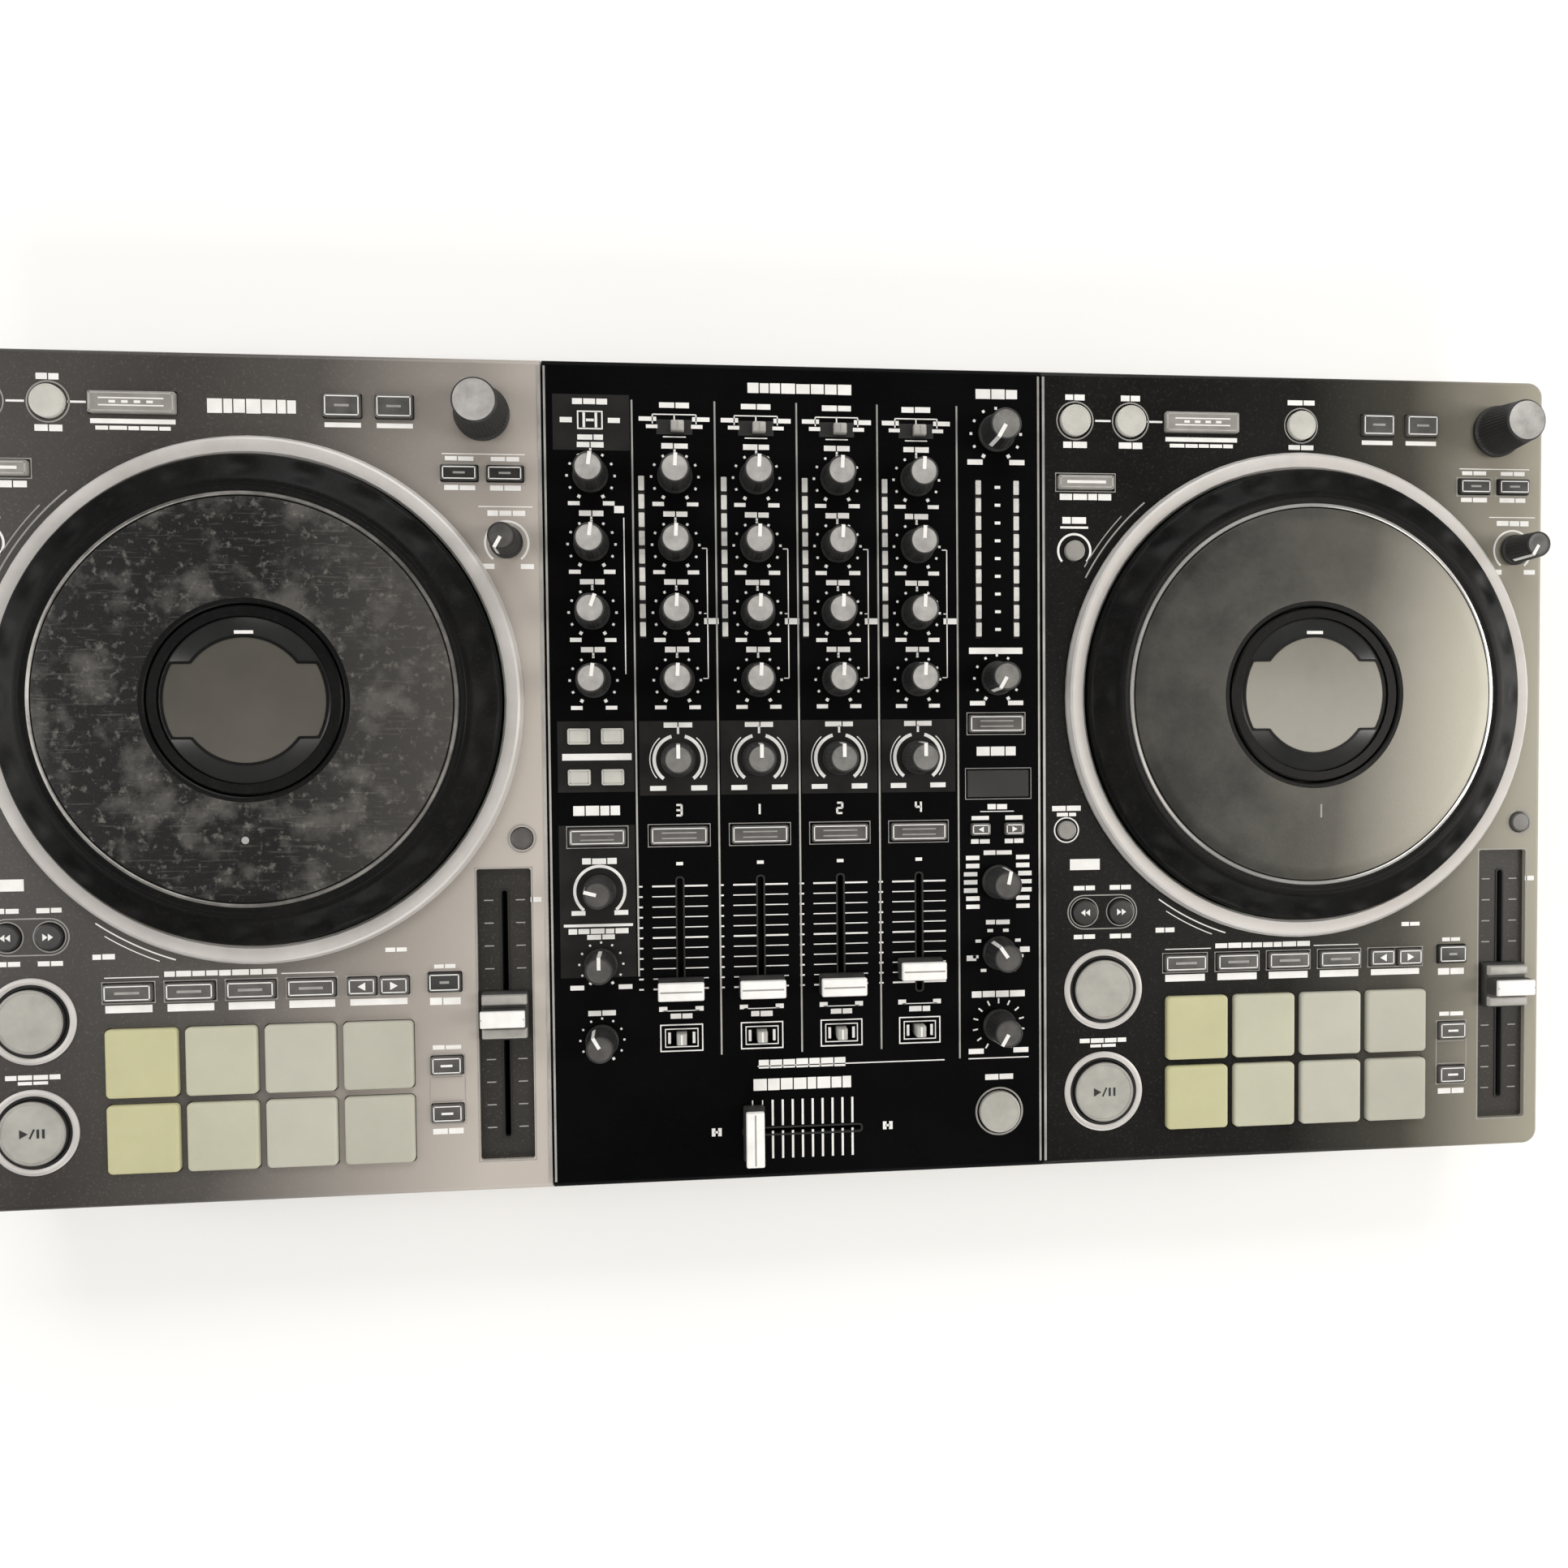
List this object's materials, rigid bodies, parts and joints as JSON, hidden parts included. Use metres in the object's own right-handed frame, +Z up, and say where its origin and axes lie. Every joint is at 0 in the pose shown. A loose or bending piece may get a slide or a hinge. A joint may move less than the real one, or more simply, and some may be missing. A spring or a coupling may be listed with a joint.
{
  "type": "dj controller",
  "caption": "Flat four-channel DJ controller: two large jog-wheel decks with pads and tempo sliders beside a centre mixer of knobs, faders and meters.",
  "frame": {"origin": "centre of the footprint, on the surface the rubber feet stand on", "axes": "+X to the player's right, +Y away from the player towards the connector side, +Z up"},
  "size_m": [0.708, 0.3614, 0.0734],
  "materials": {
    "panel_black": "satin black sheet with white print",
    "case_black": "fine-grained black moulding",
    "foot_rubber": "matt rubber",
    "screw_steel": "black zinc",
    "socket_black": "black sockets with metal contacts",
    "board_green": "solder-masked board",
    "ring_silver": "satin silver",
    "hub_black": "smooth black moulding",
    "window_smoke": "smoked clear window",
    "jog_dark": "dark grey satin top with a black grip rim",
    "control_black": "black skirt with a light grey face",
    "pad_silicone": "ivory translucent silicone",
    "key_grey": "grey translucent keys",
    "key_clear": "translucent key with a dark ring"
  },
  "bodies": {
    "case": {"bottom_case": "case_black", "deck_panels": "panel_black", "mixer_panel": "panel_black", "rubber_feet": "foot_rubber", "case_screws": "screw_steel", "socket_set": "socket_black", "control_boards": "board_green", "jog_surround_rings": "ring_silver", "jog_display_hubs": "hub_black", "display_windows": "window_smoke"},
    "knob_trim_ch3": {"knob_trim_ch3": "control_black"},
    "knob_eq_high_ch3": {"knob_eq_high_ch3": "control_black"},
    "knob_eq_mid_ch3": {"knob_eq_mid_ch3": "control_black"},
    "knob_eq_low_ch3": {"knob_eq_low_ch3": "control_black"},
    "knob_color_ch3": {"knob_color_ch3": "control_black"},
    "knob_trim_ch1": {"knob_trim_ch1": "control_black"},
    "knob_eq_high_ch1": {"knob_eq_high_ch1": "control_black"},
    "knob_eq_mid_ch1": {"knob_eq_mid_ch1": "control_black"},
    "knob_eq_low_ch1": {"knob_eq_low_ch1": "control_black"},
    "knob_color_ch1": {"knob_color_ch1": "control_black"},
    "knob_trim_ch2": {"knob_trim_ch2": "control_black"},
    "knob_eq_high_ch2": {"knob_eq_high_ch2": "control_black"},
    "knob_eq_mid_ch2": {"knob_eq_mid_ch2": "control_black"},
    "knob_eq_low_ch2": {"knob_eq_low_ch2": "control_black"},
    "knob_color_ch2": {"knob_color_ch2": "control_black"},
    "knob_trim_ch4": {"knob_trim_ch4": "control_black"},
    "knob_eq_high_ch4": {"knob_eq_high_ch4": "control_black"},
    "knob_eq_mid_ch4": {"knob_eq_mid_ch4": "control_black"},
    "knob_eq_low_ch4": {"knob_eq_low_ch4": "control_black"},
    "knob_color_ch4": {"knob_color_ch4": "control_black"},
    "knob_mic1_level": {"knob_mic1_level": "control_black"},
    "knob_mic2_level": {"knob_mic2_level": "control_black"},
    "knob_mic_high": {"knob_mic_high": "control_black"},
    "knob_mic_low": {"knob_mic_low": "control_black"},
    "knob_sampler_level": {"knob_sampler_level": "control_black"},
    "knob_phones_mix": {"knob_phones_mix": "control_black"},
    "knob_phones_level": {"knob_phones_level": "control_black"},
    "knob_master_level": {"knob_master_level": "control_black"},
    "knob_booth_level": {"knob_booth_level": "control_black"},
    "knob_fx_select": {"knob_fx_select": "control_black"},
    "knob_fx_channel": {"knob_fx_channel": "control_black"},
    "knob_fx_depth": {"knob_fx_depth": "control_black"},
    "knob_jog_adjust_left": {"knob_jog_adjust_left": "control_black"},
    "knob_jog_adjust_right": {"knob_jog_adjust_right": "control_black"},
    "browse_selector_left": {"browse_selector_left": "control_black"},
    "jog_wheel_left": {"jog_wheel_left": "jog_dark"},
    "tempo_fader_left": {"tempo_fader_left": "control_black"},
    "browse_selector_right": {"browse_selector_right": "control_black"},
    "jog_wheel_right": {"jog_wheel_right": "jog_dark"},
    "tempo_fader_right": {"tempo_fader_right": "control_black"},
    "channel_fader_3": {"channel_fader_3": "control_black"},
    "channel_fader_1": {"channel_fader_1": "control_black"},
    "channel_fader_2": {"channel_fader_2": "control_black"},
    "channel_fader_4": {"channel_fader_4": "control_black"},
    "crossfader": {"crossfader": "control_black"},
    "slide_switch_levers": {"slide_switch_levers": "control_black"},
    "power_rocker": {"power_rocker": "case_black"},
    "performance_pads": {"performance_pads": "pad_silicone"},
    "small_buttons": {"small_buttons": "key_grey"},
    "play_cue_buttons": {"play_cue_buttons": "key_clear"}
  },
  "joints": [
    {"name": "knob_trim_ch3_turn", "type": "hinge", "parent": "case", "child": "knob_trim_ch3", "pos_m": [-0.0536, 0.131, 0.054], "axis": [0, 0, -1], "range_deg": [-150, 150]},
    {"name": "knob_eq_high_ch3_turn", "type": "hinge", "parent": "case", "child": "knob_eq_high_ch3", "pos_m": [-0.0536, 0.1014, 0.054], "axis": [0, 0, -1], "range_deg": [-150, 150]},
    {"name": "knob_eq_mid_ch3_turn", "type": "hinge", "parent": "case", "child": "knob_eq_mid_ch3", "pos_m": [-0.0536, 0.0718, 0.054], "axis": [0, 0, -1], "range_deg": [-150, 150]},
    {"name": "knob_eq_low_ch3_turn", "type": "hinge", "parent": "case", "child": "knob_eq_low_ch3", "pos_m": [-0.0536, 0.0423, 0.054], "axis": [0, 0, -1], "range_deg": [-150, 150]},
    {"name": "knob_color_ch3_turn", "type": "hinge", "parent": "case", "child": "knob_color_ch3", "pos_m": [-0.0536, 0.0074, 0.054], "axis": [0, 0, -1], "range_deg": [-150, 150]},
    {"name": "knob_trim_ch1_turn", "type": "hinge", "parent": "case", "child": "knob_trim_ch1", "pos_m": [-0.0179, 0.131, 0.054], "axis": [0, 0, -1], "range_deg": [-150, 150]},
    {"name": "knob_eq_high_ch1_turn", "type": "hinge", "parent": "case", "child": "knob_eq_high_ch1", "pos_m": [-0.0179, 0.1014, 0.054], "axis": [0, 0, -1], "range_deg": [-150, 150]},
    {"name": "knob_eq_mid_ch1_turn", "type": "hinge", "parent": "case", "child": "knob_eq_mid_ch1", "pos_m": [-0.0179, 0.0718, 0.054], "axis": [0, 0, -1], "range_deg": [-150, 150]},
    {"name": "knob_eq_low_ch1_turn", "type": "hinge", "parent": "case", "child": "knob_eq_low_ch1", "pos_m": [-0.0179, 0.0423, 0.054], "axis": [0, 0, -1], "range_deg": [-150, 150]},
    {"name": "knob_color_ch1_turn", "type": "hinge", "parent": "case", "child": "knob_color_ch1", "pos_m": [-0.0179, 0.0074, 0.054], "axis": [0, 0, -1], "range_deg": [-150, 150]},
    {"name": "knob_trim_ch2_turn", "type": "hinge", "parent": "case", "child": "knob_trim_ch2", "pos_m": [0.0179, 0.131, 0.054], "axis": [0, 0, -1], "range_deg": [-150, 150]},
    {"name": "knob_eq_high_ch2_turn", "type": "hinge", "parent": "case", "child": "knob_eq_high_ch2", "pos_m": [0.0179, 0.1014, 0.054], "axis": [0, 0, -1], "range_deg": [-150, 150]},
    {"name": "knob_eq_mid_ch2_turn", "type": "hinge", "parent": "case", "child": "knob_eq_mid_ch2", "pos_m": [0.0179, 0.0718, 0.054], "axis": [0, 0, -1], "range_deg": [-150, 150]},
    {"name": "knob_eq_low_ch2_turn", "type": "hinge", "parent": "case", "child": "knob_eq_low_ch2", "pos_m": [0.0179, 0.0423, 0.054], "axis": [0, 0, -1], "range_deg": [-150, 150]},
    {"name": "knob_color_ch2_turn", "type": "hinge", "parent": "case", "child": "knob_color_ch2", "pos_m": [0.0179, 0.0074, 0.054], "axis": [0, 0, -1], "range_deg": [-150, 150]},
    {"name": "knob_trim_ch4_turn", "type": "hinge", "parent": "case", "child": "knob_trim_ch4", "pos_m": [0.0536, 0.131, 0.054], "axis": [0, 0, -1], "range_deg": [-150, 150]},
    {"name": "knob_eq_high_ch4_turn", "type": "hinge", "parent": "case", "child": "knob_eq_high_ch4", "pos_m": [0.0536, 0.1014, 0.054], "axis": [0, 0, -1], "range_deg": [-150, 150]},
    {"name": "knob_eq_mid_ch4_turn", "type": "hinge", "parent": "case", "child": "knob_eq_mid_ch4", "pos_m": [0.0536, 0.0718, 0.054], "axis": [0, 0, -1], "range_deg": [-150, 150]},
    {"name": "knob_eq_low_ch4_turn", "type": "hinge", "parent": "case", "child": "knob_eq_low_ch4", "pos_m": [0.0536, 0.0423, 0.054], "axis": [0, 0, -1], "range_deg": [-150, 150]},
    {"name": "knob_color_ch4_turn", "type": "hinge", "parent": "case", "child": "knob_color_ch4", "pos_m": [0.0536, 0.0074, 0.054], "axis": [0, 0, -1], "range_deg": [-150, 150]},
    {"name": "knob_mic1_level_turn", "type": "hinge", "parent": "case", "child": "knob_mic1_level", "pos_m": [-0.09, 0.131, 0.054], "axis": [0, 0, -1], "range_deg": [-158, 142]},
    {"name": "knob_mic2_level_turn", "type": "hinge", "parent": "case", "child": "knob_mic2_level", "pos_m": [-0.09, 0.1014, 0.054], "axis": [0, 0, -1], "range_deg": [-158, 142]},
    {"name": "knob_mic_high_turn", "type": "hinge", "parent": "case", "child": "knob_mic_high", "pos_m": [-0.09, 0.0718, 0.054], "axis": [0, 0, -1], "range_deg": [-170, 130]},
    {"name": "knob_mic_low_turn", "type": "hinge", "parent": "case", "child": "knob_mic_low", "pos_m": [-0.09, 0.0423, 0.054], "axis": [0, 0, -1], "range_deg": [-158, 142]},
    {"name": "knob_sampler_level_turn", "type": "hinge", "parent": "case", "child": "knob_sampler_level", "pos_m": [-0.0886, -0.0499, 0.054], "axis": [0, 0, -1], "range_deg": [-75, 225]},
    {"name": "knob_phones_mix_turn", "type": "hinge", "parent": "case", "child": "knob_phones_mix", "pos_m": [-0.0884, -0.0822, 0.054], "axis": [0, 0, -1], "range_deg": [-150, 150]},
    {"name": "knob_phones_level_turn", "type": "hinge", "parent": "case", "child": "knob_phones_level", "pos_m": [-0.0884, -0.1158, 0.054], "axis": [0, 0, -1], "range_deg": [-120, 180]},
    {"name": "knob_master_level_turn", "type": "hinge", "parent": "case", "child": "knob_master_level", "pos_m": [0.09, 0.152, 0.054], "axis": [0, 0, -1], "range_deg": [0, 300]},
    {"name": "knob_booth_level_turn", "type": "hinge", "parent": "case", "child": "knob_booth_level", "pos_m": [0.09, 0.0426, 0.054], "axis": [0, 0, -1], "range_deg": [0, 300]},
    {"name": "knob_fx_select_turn", "type": "hinge", "parent": "case", "child": "knob_fx_select", "pos_m": [0.09, -0.0493, 0.054], "axis": [0, 0, -1], "range_deg": [-162, 138]},
    {"name": "knob_fx_channel_turn", "type": "hinge", "parent": "case", "child": "knob_fx_channel", "pos_m": [0.09, -0.0816, 0.054], "axis": [0, 0, -1], "range_deg": [-115, 185]},
    {"name": "knob_fx_depth_turn", "type": "hinge", "parent": "case", "child": "knob_fx_depth", "pos_m": [0.0901, -0.1148, 0.054], "axis": [0, 0, -1], "range_deg": [0, 300]},
    {"name": "knob_jog_adjust_left_turn", "type": "hinge", "parent": "case", "child": "knob_jog_adjust_left", "pos_m": [-0.1262, 0.1018, 0.054], "axis": [0, 0, -1], "range_deg": [0, 300]},
    {"name": "knob_jog_adjust_right_turn", "type": "hinge", "parent": "case", "child": "knob_jog_adjust_right", "pos_m": [0.3385, 0.1018, 0.054], "axis": [0, 0, -1], "range_deg": [0, 300]},
    {"name": "browse_selector_left_turn", "type": "hinge", "parent": "case", "child": "browse_selector_left", "pos_m": [-0.1357, 0.1566, 0.054], "axis": [0, 0, -1], "continuous": true},
    {"name": "jog_wheel_left_spin", "type": "hinge", "parent": "case", "child": "jog_wheel_left", "pos_m": [-0.2315, 0.0338, 0.0605], "axis": [0, 0, -1], "continuous": true},
    {"name": "tempo_fader_left_slide", "type": "slide", "parent": "case", "child": "tempo_fader_left", "axis": [0, 1, 0], "range_m": [-0.05, 0.05]},
    {"name": "browse_selector_right_turn", "type": "hinge", "parent": "case", "child": "browse_selector_right", "pos_m": [0.329, 0.1566, 0.054], "axis": [0, 0, -1], "continuous": true},
    {"name": "jog_wheel_right_spin", "type": "hinge", "parent": "case", "child": "jog_wheel_right", "pos_m": [0.2332, 0.0338, 0.0605], "axis": [0, 0, -1], "continuous": true},
    {"name": "tempo_fader_right_slide", "type": "slide", "parent": "case", "child": "tempo_fader_right", "axis": [0, 1, 0], "range_m": [-0.05, 0.05]},
    {"name": "channel_fader_3_slide", "type": "slide", "parent": "case", "child": "channel_fader_3", "axis": [0, 1, 0], "range_m": [-0.0005, 0.0445]},
    {"name": "channel_fader_1_slide", "type": "slide", "parent": "case", "child": "channel_fader_1", "axis": [0, 1, 0], "range_m": [-0.0005, 0.0445]},
    {"name": "channel_fader_2_slide", "type": "slide", "parent": "case", "child": "channel_fader_2", "axis": [0, 1, 0], "range_m": [-0.0005, 0.0445]},
    {"name": "channel_fader_4_slide", "type": "slide", "parent": "case", "child": "channel_fader_4", "axis": [0, 1, 0], "range_m": [-0.0065, 0.0385]},
    {"name": "crossfader_slide", "type": "slide", "parent": "case", "child": "crossfader", "axis": [1, 0, 0], "range_m": [-0.0005, 0.0445]},
    {"name": "slide_switches", "type": "slide", "parent": "case", "child": "slide_switch_levers", "axis": [1, 0, 0], "range_m": [-0.003, 0.003]},
    {"name": "power_rocker_tilt", "type": "hinge", "parent": "case", "child": "power_rocker", "pos_m": [0.302, 0.1647, 0.0215], "axis": [1, 0, 0], "range_deg": [0, 12]},
    {"name": "performance_pads_press", "type": "slide", "parent": "case", "child": "performance_pads", "axis": [0, 0, -1], "range_m": [0, 0.001], "stiffness_N_per_m": 3000, "springref_m": -0.001},
    {"name": "small_buttons_press", "type": "slide", "parent": "case", "child": "small_buttons", "axis": [0, 0, -1], "range_m": [0, 0.0008], "stiffness_N_per_m": 3000, "springref_m": -0.001},
    {"name": "play_cue_buttons_press", "type": "slide", "parent": "case", "child": "play_cue_buttons", "axis": [0, 0, -1], "range_m": [0, 0.001], "stiffness_N_per_m": 2000, "springref_m": -0.001}
  ]
}
